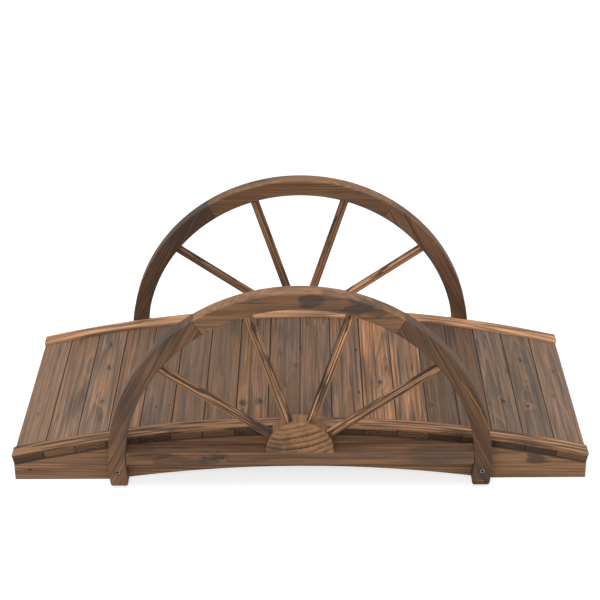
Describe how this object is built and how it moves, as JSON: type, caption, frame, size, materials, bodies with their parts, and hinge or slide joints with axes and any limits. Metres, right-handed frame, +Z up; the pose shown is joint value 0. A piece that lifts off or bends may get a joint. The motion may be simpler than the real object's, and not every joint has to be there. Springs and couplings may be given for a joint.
{
  "type": "arched wooden garden bridge with half-wheel rails",
  "caption": "Low arched garden footbridge: plank deck on arched stringers, with a half wagon-wheel rail of rim, dowel spokes and half-round hub along each side.",
  "frame": {"origin": "on the ground below the middle of the deck", "axes": "+X along the walk, +Y across it towards the back wheel, +Z up"},
  "size_m": [1.5012, 0.754, 0.5629],
  "materials": {
    "deck_wood": "brown stained fir boards with open grain",
    "stringer_wood": "brown stained fir, grain along the board",
    "trim_wood": "brown stained fir strip",
    "rim_wood": "brown stained fir, sawn to a curve",
    "rail_wood": "dark brown stained fir",
    "hub_wood": "brown stained fir with wide growth rings",
    "spoke_wood": "brown stained fir dowel with dark streaks",
    "bolt_steel": "zinc plated"
  },
  "bodies": {
    "root": {"deck_plank_01": "deck_wood", "deck_plank_02": "deck_wood", "deck_plank_03": "deck_wood", "deck_plank_04": "deck_wood", "deck_plank_05": "deck_wood", "deck_plank_06": "deck_wood", "deck_plank_07": "deck_wood", "deck_plank_08": "deck_wood", "deck_plank_09": "deck_wood", "deck_plank_10": "deck_wood", "deck_plank_11": "deck_wood", "deck_plank_12": "deck_wood", "deck_plank_13": "deck_wood", "deck_plank_14": "deck_wood", "deck_plank_15": "deck_wood", "deck_plank_16": "deck_wood", "deck_plank_17": "deck_wood", "deck_plank_18": "deck_wood", "front_stringer": "stringer_wood", "front_edge_trim": "trim_wood", "front_wheel_crown": "rim_wood", "front_wheel_left_leg": "rim_wood", "front_wheel_right_leg": "rim_wood", "front_bottom_rail": "rail_wood", "front_wheel_hub": "hub_wood", "front_wheel_spoke_1": "spoke_wood", "front_wheel_spoke_2": "spoke_wood", "front_wheel_spoke_3": "spoke_wood", "front_wheel_spoke_4": "spoke_wood", "front_left_leg_bolt": "bolt_steel", "front_right_leg_bolt": "bolt_steel", "back_stringer": "stringer_wood", "back_edge_trim": "trim_wood", "back_wheel_crown": "rim_wood", "back_wheel_left_leg": "rim_wood", "back_wheel_right_leg": "rim_wood", "back_bottom_rail": "rail_wood", "back_wheel_hub": "hub_wood", "back_wheel_spoke_1": "spoke_wood", "back_wheel_spoke_2": "spoke_wood", "back_wheel_spoke_3": "spoke_wood", "back_wheel_spoke_4": "spoke_wood", "back_left_leg_bolt": "bolt_steel", "back_right_leg_bolt": "bolt_steel"}
  },
  "joints": []
}
